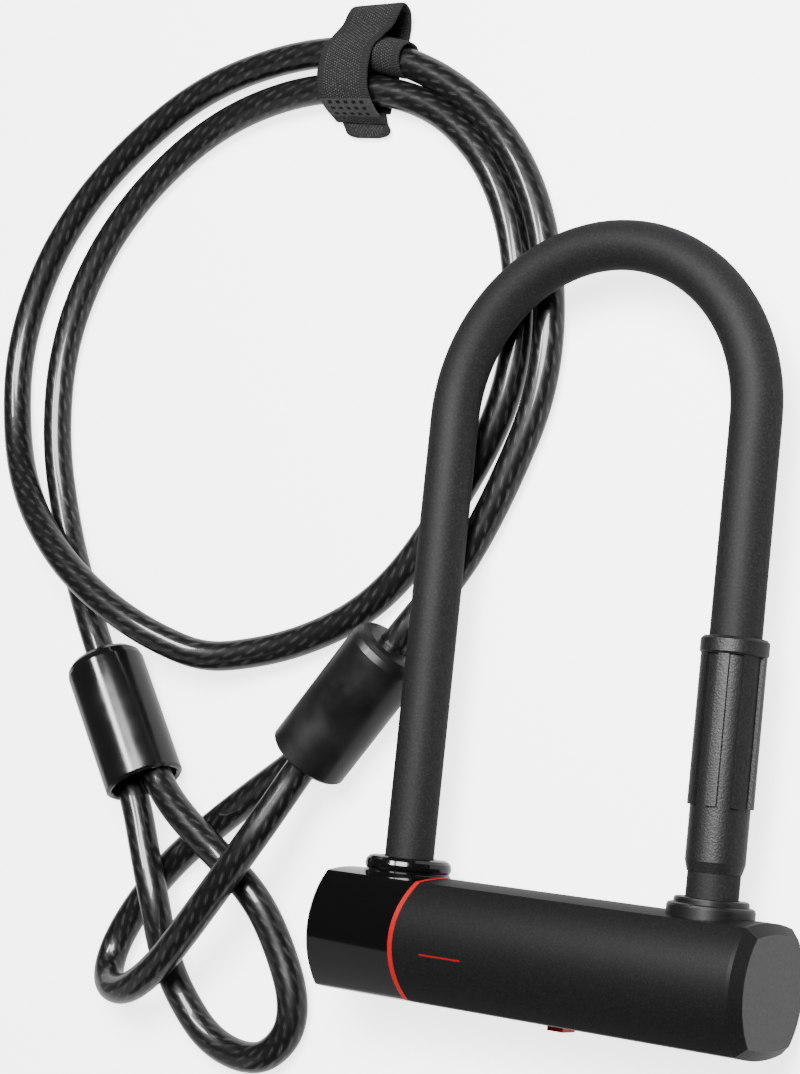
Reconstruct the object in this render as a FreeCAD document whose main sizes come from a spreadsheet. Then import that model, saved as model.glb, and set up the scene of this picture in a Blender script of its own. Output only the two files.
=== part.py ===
"""A U-shaped bicycle lock with its looped security cable, both lying on one surface.

Row frame, millimetres: +X runs along the crossbar, +Y up the shackle's legs and +Z off the
surface. The origin is under the middle of the lock. The lock is shown closed but unlocked:
both bolts are drawn back, so the shackle can be pulled straight out along +Y.
"""
import FreeCAD, Part
import math
import os
import Sketcher
from FreeCAD import Vector

doc = FreeCAD.newDocument("u_lock")

# ---------------------------------------------------------------- driving dimensions
DIMENSIONS = {
    "shackle_steel_dia": 14, "shackle_dia": 18, "leg_spacing": 126, "bow_centre_y": 71.5,
    "foot_tip_y": -131.5, "jacket_end_y": -100,
    "bar_y": -119.5, "bar_z": 24.5, "bar_length": 178, "bar_height": 45, "bar_depth": 49,
    "crease_height": 41.5, "crease_depth": 32.4, "bar_chamfer": 3.6,
    "left_chamfer": 1.6,
    "tube_length": 164, "tube_height": 35, "tube_depth": 31, "tube_wall": 3,
    "ring_radius": 61.6, "ring_width": 2, "ring_centre_x": 12.6, "right_cap_x": 84,
    "collar_bore": 18.6, "left_collar_dia": 31.6, "left_collar_top_y": -91.2,
    "right_collar_dia": 30, "right_collar_top_y": -93.6, "upper_ring_dia": 25.5,
    "foot_bore": 14.6, "block_gap": 0.1, "bolt_dia": 10, "bolt_bore": 10.1, "bolt_y": -112.5,
    "bolt_tip_gap": 1.5, "bolt_travel": 6, "notch_depth": 5, "notch_height": 11.4,
    "lock_x": 9, "cylinder_dia": 17, "barrel_dia": 12, "cylinder_face_y": -137,
    "cylinder_back_y": -122.3, "cam_y": -122, "cam_thick": 2, "cam_dia": 13, "pin_dia": 2.5,
    "disc_dia": 9.9, "disc_thick": 1.1, "disc_pitch": 1.5, "keyway_width": 2.6,
    "shutter_travel": 13, "shutter_thick": 1.4, "shutter_width": 14,
    "sleeve_dia": 20.4, "sleeve_bore": 18, "sleeve_low_y": -83, "sleeve_high_y": -4,
    "sleeve_ring_dia": 23.5, "sleeve_rib_dia": 22.7,
    "cable_dia": 12, "ferrule_dia": 32, "ferrule_length": 58, "ferrule_bore": 27,
    "mouth_depth": 18, "neck_depth": 10, "strap_width": 25, "strap_thick": 1.6,
}
sheet = doc.addObject("Spreadsheet::Sheet", "dims")
for row_number, (alias, number) in enumerate(DIMENSIONS.items(), start=1):
    sheet.set(f"A{row_number}", alias)
    sheet.set(f"B{row_number}", str(number))
    sheet.setAlias(f"B{row_number}", alias)
doc.recompute()


class Size:
    """A length worked out from the sheet: its value now, and the same sum as an expression."""

    def __init__(self, value, text):
        self.value = value
        self.text = text

    def combine(self, other, sign, value):
        return Size(value, f"({self.text} {sign} {size(other).text})")

    def __add__(self, other):
        return self.combine(other, "+", self.value + size(other).value)

    def __sub__(self, other):
        return self.combine(other, "-", self.value - size(other).value)

    def __mul__(self, other):
        return self.combine(other, "*", self.value * size(other).value)

    def __truediv__(self, other):
        return self.combine(other, "/", self.value / size(other).value)

    def __neg__(self):
        return Size(-self.value, f"(0 - {self.text})")


def size(number):
    """A plain number as a Size."""
    return number if isinstance(number, Size) else Size(float(number), f"({float(number)})")


def dim(alias):
    """The named driving dimension."""
    return Size(float(sheet.get(alias)), f"dims.{alias}")


def bind(thing, field, length):
    """Set a property from a Size and keep it bound to the sheet."""
    length = size(length)
    setattr(thing, field, length.value)
    thing.setExpression(field, length.text)


def place(thing, corner, rotation=None):
    """Put an object at a corner of Sizes, turned by a rotation, with the corner bound."""
    values = [size(c) for c in corner]
    thing.Placement = FreeCAD.Placement(
        Vector(*[c.value for c in values]), rotation or FreeCAD.Rotation())
    for axis, c in zip("xyz", values):
        thing.setExpression(f".Placement.Base.{axis}", c.text)
    return thing


# ---------------------------------------------------------------- building blocks
ALONG = {
    "x": FreeCAD.Rotation(Vector(0, 1, 0), 90),
    "y": FreeCAD.Rotation(Vector(1, 0, 0), -90),
    "z": FreeCAD.Rotation(),
}


def box(low, high):
    """A box between two corners of Sizes."""
    solid = doc.addObject("Part::Box", "box")
    for field, a, b in zip(("Length", "Width", "Height"), low, high):
        bind(solid, field, size(b) - a)
    return place(solid, low)


def rod(axis, start, length, radius):
    """A cylinder that runs along one row axis from its start point."""
    solid = doc.addObject("Part::Cylinder", "rod")
    bind(solid, "Radius", radius)
    bind(solid, "Height", length)
    return place(solid, start, ALONG[axis])


def taper(axis, start, length, radius, far_radius):
    """A cone frustum that runs along one row axis from its start point."""
    solid = doc.addObject("Part::Cone", "taper")
    bind(solid, "Radius1", radius)
    bind(solid, "Radius2", far_radius)
    bind(solid, "Height", length)
    return place(solid, start, ALONG[axis])


def fuse(*solids):
    """The union of several solids, with the seams between them removed."""
    union = doc.addObject("Part::MultiFuse", "union")
    union.Shapes = list(solids)
    union.Refine = True
    return union


def cut(base, *tools):
    """The base with every tool taken away."""
    result = doc.addObject("Part::Cut", "cut")
    result.Base = base
    result.Tool = tools[0] if len(tools) == 1 else fuse(*tools)
    result.Refine = True
    return result


def common(base, tool):
    """What two solids share."""
    result = doc.addObject("Part::Common", "common")
    result.Base = base
    result.Tool = tool
    return result


def group(solids):
    """Several separate solids kept together as one sub-part."""
    bundle = doc.addObject("Part::Compound", "group")
    bundle.Links = list(solids)
    return bundle


def own_plane(body, role):
    """One of a body's own origin planes."""
    return next(f for f in body.Origin.OriginFeatures if f.Role == role)


def new_sketch(body, role):
    """An empty sketch on one of the body's own origin planes."""
    sketch = body.newObject("Sketcher::SketchObject", "outline")
    sketch.AttachmentSupport = (own_plane(body, role), [""])
    sketch.MapMode = "FlatFace"
    return sketch


def pin_point(sketch, edge, point):
    """Hold the start of an edge at a point whose coordinates are Sizes."""
    for kind, length in zip(("DistanceX", "DistanceY"), point):
        length = size(length)
        index = sketch.addConstraint(Sketcher.Constraint(kind, -1, 1, edge, 1, length.value))
        sketch.setExpression(f"Constraints[{index}]", length.text)


def draw_polygon(sketch, points):
    """A closed outline of straight edges whose corners are bound to the sheet."""
    corners = [Vector(size(u).value, size(v).value, 0) for u, v in points]
    for index, corner in enumerate(corners):
        sketch.addGeometry(Part.LineSegment(corner, corners[(index + 1) % len(corners)]))
    for index, point in enumerate(points):
        following = (index + 1) % len(points)
        sketch.addConstraint(Sketcher.Constraint("Coincident", index, 2, following, 1))
        pin_point(sketch, index, point)


def turned(points, start, axis="y"):
    """A PartDesign body turned about an axis from an outline of (radius, height) corners."""
    body = doc.addObject("PartDesign::Body", "turned")
    sketch = new_sketch(body, "XZ_Plane")
    draw_polygon(sketch, points)
    spin = body.newObject("PartDesign::Revolution", "spin")
    spin.Profile = sketch
    spin.ReferenceAxis = (sketch, ["V_Axis"])
    spin.Angle = 360
    body.Tip = spin
    return place(body, start, ALONG[axis]) if start else body


def bar_profile(start_x, length, chamfered_side=None, chamfer="bar_chamfer"):
    """A slab of the crossbar's outer section: four bulging faces that meet in creases."""
    half_height = dim("crease_height") / 2
    half_depth = dim("crease_depth") / 2
    crest_y = dim("bar_height") / 2
    crest_z = dim("bar_depth") / 2
    body = doc.addObject("PartDesign::Body", "slab")
    sketch = new_sketch(body, "YZ_Plane")
    corners = [(half_height, -half_depth), (half_height, half_depth),
               (-half_height, half_depth), (-half_height, -half_depth)]
    crests = [(crest_y, 0), (0, crest_z), (-crest_y, 0), (0, -crest_z)]
    for index, crest in enumerate(crests):
        ends = corners[index], corners[(index + 1) % 4]
        points = [Vector(size(u).value, size(v).value, 0) for u, v in (ends[0], crest, ends[1])]
        sketch.addGeometry(Part.Arc(*points))
    bulges = [(half_depth, crest_y - half_height), (half_height, crest_z - half_depth)]
    for index in range(4):
        following = (index + 1) % 4
        touching = [(a, b) for a in (1, 2) for b in (1, 2)
                    if sketch.getPoint(index, a).distanceToPoint(sketch.getPoint(following, b))
                    < 1e-6][0]
        sketch.addConstraint(
            Sketcher.Constraint("Coincident", index, touching[0], following, touching[1]))
        corner = corners[following]
        for kind, offset in zip(("DistanceX", "DistanceY"), corner):
            number = sketch.addConstraint(
                Sketcher.Constraint(kind, -1, 1, index, touching[0], size(offset).value))
            sketch.setExpression(f"Constraints[{number}]", size(offset).text)
        half_chord, rise = bulges[index % 2]
        radius = (half_chord * half_chord + rise * rise) / (rise * 2)
        number = sketch.addConstraint(Sketcher.Constraint("Radius", index, radius.value))
        sketch.setExpression(f"Constraints[{number}]", radius.text)
    pad = body.newObject("PartDesign::Pad", "pad")
    pad.Profile = sketch
    bind(pad, "Length", length)
    body.Tip = pad
    if chamfered_side:
        doc.recompute()
        wanted = 0.0 if chamfered_side == "low" else size(length).value
        faces = pad.Shape.Faces
        number = next(n for n, face in enumerate(faces, start=1)
                      if abs(face.CenterOfMass.x - wanted) < 1e-6)
        bevel = body.newObject("PartDesign::Chamfer", "bevel")
        bevel.Base = (pad, [f"Face{number}"])
        bind(bevel, "Size", dim(chamfer))
        body.Tip = bevel
    return place(body, (start_x, dim("bar_y"), dim("bar_z")))


sub_parts = []


def sub_part(label, thing):
    """Register a finished piece under the name of its node."""
    thing.Label = label
    sub_parts.append(thing)
    return thing


# ---------------------------------------------------------------- shackle
half_spacing = dim("leg_spacing") / 2
bow_y = dim("bow_centre_y")
bar_y = dim("bar_y")
bar_z = dim("bar_z")
FOOT_CHAMFER = 2.0
RIB_COUNT = 8
RIB_HALF_WIDTH = 1.9
RIB_START_ANGLE = 11.0
RIB_DEPTH_INTO_SLEEVE = 0.4
SLEEVE_RING_LENGTH = 6.0
SLEEVE_PLAIN_LENGTH = 22.0
SLEEVE_LEAD_IN = 3.5


def u_rod(radius, low_y):
    """A round rod bent into the shackle's U, with both legs ending at low_y."""
    bow = doc.addObject("Part::Torus", "bow")
    bind(bow, "Radius1", half_spacing)
    bind(bow, "Radius2", radius)
    bow.Angle3 = 180
    place(bow, (0, bow_y, bar_z))
    legs = [rod("y", (side, low_y, bar_z), bow_y - low_y, radius)
            for side in (-half_spacing, half_spacing)]
    return fuse(bow, *legs)


def shackle_core():
    """The hardened steel bow, pointed at its feet and notched for the two bolts."""
    radius = dim("shackle_steel_dia") / 2
    tip_y = dim("foot_tip_y")
    shaft_y = tip_y + FOOT_CHAMFER
    bow = u_rod(radius, shaft_y)
    tips = [taper("y", (side, tip_y, bar_z), FOOT_CHAMFER, radius - FOOT_CHAMFER, radius)
            for side in (-half_spacing, half_spacing)]
    low_y = dim("bolt_y") - dim("notch_height") / 2
    high_y = dim("bolt_y") + dim("notch_height") / 2
    inner_x = half_spacing - radius
    notch_x = inner_x + dim("notch_depth")
    notches = [
        box((-notch_x, low_y, bar_z - radius), (-inner_x, high_y, bar_z + radius)),
        box((inner_x, low_y, bar_z - radius), (notch_x, high_y, bar_z + radius)),
    ]
    return cut(fuse(bow, *tips), *notches)


def leg_sleeve():
    """The ribbed plastic sleeve pressed over the right leg's jacket."""
    low_y = dim("sleeve_low_y")
    high_y = dim("sleeve_high_y")
    bore = dim("sleeve_bore") / 2
    body = dim("sleeve_dia") / 2
    ring = dim("sleeve_ring_dia") / 2
    length = high_y - low_y
    ring_low = length - SLEEVE_RING_LENGTH
    shell = turned([(bore, 0), (bore + 0.25, 0), (body, SLEEVE_LEAD_IN), (body, ring_low),
                    (ring - 0.6, ring_low), (ring, ring_low + 0.8), (ring, length - 1),
                    (ring - 1, length), (bore, length)],
                   (half_spacing, low_y, bar_z))
    rib_low = low_y + SLEEVE_PLAIN_LENGTH
    rib_length = high_y - SLEEVE_RING_LENGTH - rib_low
    point = dim("sleeve_rib_dia") / 2
    band = cut(rod("y", (half_spacing, rib_low, bar_z), rib_length, point),
               rod("y", (half_spacing, rib_low, bar_z), rib_length,
                   body - RIB_DEPTH_INTO_SLEEVE))
    ribs = []
    for index in range(RIB_COUNT):
        blade = group([box((0, 0, -RIB_HALF_WIDTH), (point + 1, rib_length, RIB_HALF_WIDTH))])
        spin = FreeCAD.Rotation(Vector(0, 1, 0), 360.0 * index / RIB_COUNT + RIB_START_ANGLE)
        ribs.append(common(band, place(blade, (half_spacing, rib_low, bar_z), spin)))
    return fuse(shell, *ribs)


sub_part("shackle_core", shackle_core())
sub_part("shackle_jacket", cut(u_rod(dim("shackle_dia") / 2, dim("jacket_end_y")),
                               u_rod(dim("shackle_steel_dia") / 2, dim("jacket_end_y") - 1)))
sub_part("ribbed_leg_sleeve", leg_sleeve())

# ---------------------------------------------------------------- crossbar shell
half_tube_y = dim("tube_height") / 2
half_tube_z = dim("tube_depth") / 2
half_tube_x = dim("tube_length") / 2
half_bar = dim("bar_length") / 2
wall = dim("tube_wall")
lock_x = dim("lock_x")
PIN_RADIUS = 2.0
BLOCK_PIN_X = 75.2
CYLINDER_PIN_RADIUS = 1.5
CYLINDER_PIN_Y = -130.0
CYLINDER_PIN_BITE = 1.0
SEAM_OVERLAP = 20.0
SHUTTER_LOW_X = -8.2
SHUTTER_LENGTH = 27.4
SHUTTER_Y = -139.9
NUB_HALF_LENGTH = 3.2
NUB_HALF_WIDTH = 4.0
NUB_TOP_Y = -143.5
POCKET_MARGIN = 0.3
WINDOW_LOW_X = -6.0
WINDOW_HIGH_X = 18.0
WINDOW_HALF_WIDTH = 5.0


def tube_envelope():
    """The block of space that the steel tube fills inside the plastic."""
    return box((-half_tube_x, bar_y - half_tube_y, bar_z - half_tube_z),
               (half_tube_x, bar_y + half_tube_y, bar_z + half_tube_z))


def leg_holes(low_y, high_y):
    """Round holes for both of the shackle's feet, between two heights."""
    return [rod("y", (side, low_y, bar_z), high_y - low_y, dim("foot_bore") / 2)
            for side in (-half_spacing, half_spacing)]


def collar_seat(x, diameter):
    """The round seat that a collar fills, from the tube up through the plastic."""
    return rod("y", (x, bar_y + half_tube_y - 1, bar_z),
               dim("bar_height") / 2 - half_tube_y + 2, diameter / 2)


def left_collar_seat():
    """The left collar's seat, at the end cap."""
    return collar_seat(-half_spacing, dim("left_collar_dia"))


def block_pin(x):
    """A pin through the tube along Z that holds a lock block."""
    return rod("z", (x, bar_y, bar_z - half_tube_z), dim("tube_depth"), PIN_RADIUS)


def cylinder_retainer():
    """The pin along Z that lies in a groove of the lock cylinder's side."""
    x = lock_x + dim("cylinder_dia") / 2 + CYLINDER_PIN_RADIUS - CYLINDER_PIN_BITE
    return rod("z", (x, CYLINDER_PIN_Y, bar_z - half_tube_z), dim("tube_depth"),
               CYLINDER_PIN_RADIUS)


def crossbar_tube():
    """The square steel tube that takes the shackle's feet and the lock cylinder."""
    channel = box((-half_tube_x, bar_y - half_tube_y + wall, bar_z - half_tube_z + wall),
                  (half_tube_x, bar_y + half_tube_y - wall, bar_z + half_tube_z - wall))
    top = bar_y + half_tube_y
    feet = leg_holes(top - wall - 1, top + 1)
    cylinder = rod("y", (lock_x, bar_y - half_tube_y - 1, bar_z), wall + 2,
                   dim("cylinder_dia") / 2)
    return cut(tube_envelope(), channel, cylinder, *feet, block_pin(-BLOCK_PIN_X),
               block_pin(BLOCK_PIN_X), cylinder_retainer())


def seam_cylinder(radius):
    """The upright round cutter that gives the seam beside the end cap its curve."""
    return rod("z", (dim("ring_centre_x"), bar_y, -1), dim("bar_depth") + 2, radius)


def crossbar_cover():
    """The satin plastic body, open for the collars and for the keyhole shutter."""
    seam_x = dim("ring_centre_x") - dim("ring_radius")
    start_x = seam_x - 1
    slab = bar_profile(start_x, dim("right_cap_x") - start_x)
    half_height = dim("bar_height") / 2 + 1
    beyond_seam = cut(box((start_x - 1, bar_y - half_height, -1),
                          (dim("ring_centre_x"), bar_y + half_height, dim("bar_depth") + 1)),
                      seam_cylinder(dim("ring_radius")))
    pocket_low = lock_x + SHUTTER_LOW_X - POCKET_MARGIN
    pocket_high = lock_x + SHUTTER_LOW_X + SHUTTER_LENGTH + dim("shutter_travel") + POCKET_MARGIN
    half_width = dim("shutter_width") / 2 + POCKET_MARGIN
    pocket = box((pocket_low, SHUTTER_Y - POCKET_MARGIN, bar_z - half_width),
                 (pocket_high, bar_y - half_tube_y + 1, bar_z + half_width))
    window = box((lock_x + WINDOW_LOW_X, bar_y - half_height, bar_z - WINDOW_HALF_WIDTH),
                 (lock_x + WINDOW_HIGH_X, SHUTTER_Y, bar_z + WINDOW_HALF_WIDTH))
    collar = collar_seat(half_spacing, dim("right_collar_dia"))
    return cut(slab, beyond_seam, tube_envelope(), pocket, window, collar)


def accent_ring():
    """The thin coloured ring between the body and the left cap."""
    seam_x = dim("ring_centre_x") - dim("ring_radius")
    slab = bar_profile(seam_x - dim("ring_width") - 1, SEAM_OVERLAP)
    outside = seam_cylinder(dim("ring_radius") + dim("ring_width"))
    return cut(common(slab, outside), seam_cylinder(dim("ring_radius")), tube_envelope(),
               left_collar_seat())


def left_end_cap():
    """The glossy cap over the bar's left end, with its bevelled outer edge."""
    seam_x = dim("ring_centre_x") - dim("ring_radius") - dim("ring_width")
    slab = bar_profile(-half_bar, seam_x + half_bar + 8, "low", "left_chamfer")
    outside = seam_cylinder(dim("ring_radius") + dim("ring_width"))
    return cut(slab, outside, tube_envelope(), left_collar_seat())


def left_collar():
    """The glossy bush where the left leg enters the bar: a skirt under a round bead."""
    height = dim("left_collar_top_y") - bar_y - half_tube_y
    bore = dim("collar_bore") / 2
    rim = dim("left_collar_dia") / 2
    groove = height - 5.2
    outline = [(bore, 0), (rim, 0), (rim, groove - 0.6), (rim - 0.6, groove),
               (rim - 0.6, groove + 0.4), (rim - 0.1, groove + 1.2), (rim, groove + 2.4),
               (rim - 0.4, groove + 3.8), (rim - 1.4, height - 0.4), (rim - 2.6, height),
               (bore + 1, height), (bore, height - 1)]
    return turned(outline, (-half_spacing, bar_y + half_tube_y, bar_z))


def right_collar():
    """The satin bush where the right leg enters the bar: a broad ring under a narrower one."""
    height = dim("right_collar_top_y") - bar_y - half_tube_y
    bore = dim("collar_bore") / 2
    rim = dim("right_collar_dia") / 2
    upper = dim("upper_ring_dia") / 2
    outline = [(bore, 0), (rim, 0), (rim, height - 1.2), (rim - 0.4, height - 0.4),
               (rim - 1.2, height), (upper, height), (upper, height + 1.2),
               (upper - 0.3, height + 1.8), (upper - 0.8, height + 2), (bore + 0.6, height + 2),
               (bore, height + 1.4)]
    return turned(outline, (half_spacing, bar_y + half_tube_y, bar_z))


sub_part("crossbar_tube", crossbar_tube())
sub_part("crossbar_cover", crossbar_cover())
sub_part("accent_ring", accent_ring())
sub_part("left_end_cap", left_end_cap())
sub_part("right_end_cap", bar_profile(dim("right_cap_x"), half_bar - dim("right_cap_x"), "high"))
sub_part("left_collar", left_collar())
sub_part("right_collar", right_collar())

# ---------------------------------------------------------------- locking mechanism
radius_of_bolt = dim("bolt_dia") / 2
channel_low_y = bar_y - half_tube_y + wall + dim("block_gap")
channel_high_y = bar_y + half_tube_y - wall - dim("block_gap")
channel_low_z = bar_z - half_tube_z + wall + dim("block_gap")
channel_high_z = bar_z + half_tube_z - wall - dim("block_gap")
BLOCK_END_X = 80.0
LEFT_BLOCK_START_X = -24.0
RIGHT_BLOCK_START_X = 34.0
LEFT_BOLT_START_X = -2.0
RIGHT_BOLT_START_X = 20.0
CAM_PIN_OFFSET = 3.0
CAM_PIN_HEIGHT = 3.0
TAIL_THICK = 3.0
TAIL_GAP = 0.4
TAIL_REACH = 3.0
TAIL_ROOT = 6.0
TAIL_NEAR_Z = 0.6
TAIL_FAR_Z = 8.0
SLOT_CLEARANCE = 0.3
RUNNING_GAP = 0.05
NOSE_RADIUS = 4.5
NOSE_LENGTH = 1.5
BARREL_SETBACK = 0.2
BARREL_FRONT_WALL = 3.0
KEYWAY_HALF_HEIGHT = 3.0
DISC_COUNT = 7
SIDEBAR_HALF_WIDTH = 0.55
SIDEBAR_LOW_Z = 5.05
SIDEBAR_HIGH_Z = 5.95
SIDEBAR_START = 4.2
SIDEBAR_LENGTH = 9.0
SIDEBAR_SLOT_PLAY = 0.2
barrel_start_y = dim("cylinder_face_y") + BARREL_SETBACK


def lock_block(side, inner_x):
    """The steel block that guides one foot of the shackle and the bolt that holds it."""
    low_x, high_x = (size(-BLOCK_END_X), size(inner_x)) if side < 0 else (
        size(inner_x), size(BLOCK_END_X))
    solid = box((low_x, channel_low_y, channel_low_z), (high_x, channel_high_y, channel_high_z))
    foot_x = half_spacing if side > 0 else -half_spacing
    foot = rod("y", (foot_x, dim("foot_tip_y") - 0.5, bar_z), 40, dim("foot_bore") / 2)
    start_x = size(inner_x) - 1 if side > 0 else foot_x
    bolt = rod("x", (start_x, dim("bolt_y"), bar_z),
               (foot_x - start_x) if side > 0 else (size(inner_x) + 1 - foot_x),
               dim("bolt_bore") / 2)
    return cut(solid, foot, bolt, block_pin(side * BLOCK_PIN_X))


def bolt(side, inner_x):
    """A round bolt with a flat tail whose slot takes one of the cam's pins."""
    tip_x = half_spacing - dim("shackle_steel_dia") / 2 - dim("bolt_tip_gap")
    start_x = size(inner_x) if side > 0 else -tip_x
    length = tip_x - inner_x if side > 0 else size(inner_x) + tip_x
    shaft = rod("x", (start_x, dim("bolt_y"), bar_z), length, radius_of_bolt)
    tail_y = dim("cam_y") + dim("cam_thick") + TAIL_GAP
    slot_half = dim("pin_dia") / 2 + SLOT_CLEARANCE
    pin_x = lock_x - side * CAM_PIN_OFFSET
    tail_end = pin_x - side * TAIL_REACH
    tail_root = size(inner_x) + side * TAIL_ROOT
    low_x, high_x = (tail_end, tail_root) if side > 0 else (tail_root, tail_end)
    low_z, high_z = (bar_z + TAIL_NEAR_Z, bar_z + TAIL_FAR_Z) if side > 0 else (
        bar_z - TAIL_FAR_Z, bar_z - TAIL_NEAR_Z)
    tail = box((low_x, tail_y, low_z), (high_x, tail_y + TAIL_THICK, high_z))
    slot_near = size(CAM_PIN_OFFSET) - slot_half
    slot_far = slot_half + CAM_PIN_OFFSET * math.sqrt(2)
    slot_z = (bar_z + slot_near, bar_z + slot_far) if side > 0 else (
        bar_z - slot_far, bar_z - slot_near)
    slot = box((pin_x - slot_half, tail_y - 1, slot_z[0]),
               (pin_x + slot_half, tail_y + TAIL_THICK + 1, slot_z[1]))
    return cut(fuse(shaft, tail), slot)


def cylinder_body():
    """The brass cylinder, stepped inside to keep the key barrel from coming out."""
    face = dim("cylinder_face_y")
    length = dim("cylinder_back_y") - face
    bore = dim("barrel_dia") / 2 + RUNNING_GAP
    lip = NOSE_RADIUS + RUNNING_GAP
    shell = turned([(lip, 0), (dim("cylinder_dia") / 2, 0), (dim("cylinder_dia") / 2, length),
                    (bore, length), (bore, NOSE_LENGTH), (lip, NOSE_LENGTH)],
                   (lock_x, face, bar_z))
    return cut(shell, cylinder_retainer())


def key_barrel():
    """The turning barrel: a nose with the keyway, and a cup that holds the discs."""
    start = barrel_start_y
    length = dim("cam_y") - start
    outer = dim("barrel_dia") / 2
    cup = dim("disc_dia") / 2 + RUNNING_GAP
    shell = turned([(0, 0), (NOSE_RADIUS, 0), (NOSE_RADIUS, NOSE_LENGTH), (outer, NOSE_LENGTH),
                    (outer, length), (cup, length), (cup, BARREL_FRONT_WALL),
                    (0, BARREL_FRONT_WALL)],
                   (lock_x, start, bar_z))
    half_key = dim("keyway_width") / 2
    keyway = box((lock_x - half_key, start - 1, bar_z - KEYWAY_HALF_HEIGHT),
                 (lock_x + half_key, start + BARREL_FRONT_WALL + 1, bar_z + KEYWAY_HALF_HEIGHT))
    slot_half = SIDEBAR_HALF_WIDTH + SIDEBAR_SLOT_PLAY / 2
    slot_y = start + SIDEBAR_START - SIDEBAR_SLOT_PLAY
    slot = box((lock_x - slot_half, slot_y, bar_z + cup - 1),
               (lock_x + slot_half, slot_y + SIDEBAR_LENGTH + 2 * SIDEBAR_SLOT_PLAY,
                bar_z + outer + 1))
    return cut(shell, keyway, slot)


def sidebar():
    """The bar in the barrel's side slot that the discs hold out until the key turns them."""
    start = barrel_start_y + SIDEBAR_START
    return box((lock_x - SIDEBAR_HALF_WIDTH, start, bar_z + SIDEBAR_LOW_Z),
               (lock_x + SIDEBAR_HALF_WIDTH, start + SIDEBAR_LENGTH, bar_z + SIDEBAR_HIGH_Z))


def disc_stack(spacer):
    """The locking discs, or the thin spacer rings between them."""
    pieces = []
    radius = dim("disc_dia") / 2
    first_y = barrel_start_y + BARREL_FRONT_WALL + 2 * RUNNING_GAP
    for index in range(DISC_COUNT):
        start_y = first_y + dim("disc_pitch") * index
        if spacer:
            thick = dim("disc_pitch") - dim("disc_thick")
            start_y = start_y + dim("disc_thick")
            hole = rod("y", (lock_x, start_y - 1, bar_z), thick + 2, radius - 1)
        else:
            thick = dim("disc_thick")
            half_key = dim("keyway_width") / 2
            hole = box((lock_x - half_key, start_y - 1, bar_z - KEYWAY_HALF_HEIGHT),
                       (lock_x + half_key, start_y + thick + 1, bar_z + KEYWAY_HALF_HEIGHT))
        pieces.append(cut(rod("y", (lock_x, start_y, bar_z), thick, radius), hole))
    return group(pieces)


def cam():
    """The round cam on the barrel's back, with one drive pin for each bolt."""
    plate = rod("y", (lock_x, dim("cam_y"), bar_z), dim("cam_thick"), dim("cam_dia") / 2)
    pin_y = dim("cam_y") + dim("cam_thick") - 0.5
    pins = [rod("y", (lock_x - side * CAM_PIN_OFFSET, pin_y, bar_z + side * CAM_PIN_OFFSET),
                CAM_PIN_HEIGHT + 0.5, dim("pin_dia") / 2) for side in (1, -1)]
    return fuse(plate, *pins)


def keyhole_shutter():
    """The sliding red shutter under the bar, with the nub that a finger pushes."""
    low_x = lock_x + SHUTTER_LOW_X
    half_width = dim("shutter_width") / 2
    plate = box((low_x, SHUTTER_Y, bar_z - half_width),
                (low_x + SHUTTER_LENGTH, dim("shutter_thick") + SHUTTER_Y, bar_z + half_width))
    nub = box((lock_x - NUB_HALF_LENGTH, NUB_TOP_Y, bar_z - NUB_HALF_WIDTH),
              (lock_x + NUB_HALF_LENGTH, SHUTTER_Y + 0.5, bar_z + NUB_HALF_WIDTH))
    return fuse(plate, nub)


sub_part("left_lock_block", lock_block(-1, LEFT_BLOCK_START_X))
sub_part("right_lock_block", lock_block(1, RIGHT_BLOCK_START_X))
sub_part("left_bolt", bolt(-1, LEFT_BOLT_START_X))
sub_part("right_bolt", bolt(1, RIGHT_BOLT_START_X))
sub_part("lock_block_pins", group([block_pin(x) for x in (-BLOCK_PIN_X, BLOCK_PIN_X)]))
sub_part("cylinder_body", cylinder_body())
sub_part("cylinder_pin", cylinder_retainer())
sub_part("key_barrel", key_barrel())
sub_part("locking_discs", disc_stack(False))
sub_part("disc_spacers", disc_stack(True))
sub_part("sidebar", sidebar())
sub_part("bolt_cam", cam())
sub_part("keyhole_shutter", keyhole_shutter())

# ---------------------------------------------------------------- cable
FERRULES = {
    "a": {"mouth": Vector(-204, -76, 16), "axis": Vector(0.54, -0.8417, 0)},
    "b": {"mouth": Vector(-122, -59, 16), "axis": Vector(-0.62, -0.785, 0)},
}
MAIN_ROUTE = [
    (-230.1, -35.3, 16), (-241.8, -17.1, 16), (-262, 8, 9), (-275, 29, 6), (-288, 66, 6),
    (-290, 108, 6), (-276, 146, 6), (-251, 176, 6), (-216, 199, 6), (-175, 209, 8.4),
    (-138, 209, 8.4), (-104, 200, 6), (-79, 182, 6), (-63, 159, 6), (-54, 133, 6),
    (-51, 106, 6), (-54, 82, 6), (-63, 60, 6), (-77, 37, 6), (-94, 13, 6), (-115, -4, 6),
    (-143, -16, 7.5), (-169, -22, 11), (-183, -23, 14), (-196, -20, 17.5), (-217, -12, 22),
    (-242, 1, 23.5), (-265, 17, 22.5), (-291, 40, 16), (-310, 68, 8), (-317, 105, 6),
    (-307, 142, 6), (-287, 172, 6), (-258, 198, 6), (-224, 218, 6), (-184, 226, 8.4),
    (-147, 227, 8.4), (-115, 219, 7.4), (-88, 204, 6), (-66, 184, 6), (-50, 160, 6),
    (-41, 134, 6), (-37, 107, 6), (-39, 81, 6), (-48, 56, 6), (-59, 32, 6), (-68, 14, 8.5),
    (-78.6, -4.1, 16), (-92.1, -21.1, 16),
]
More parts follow.
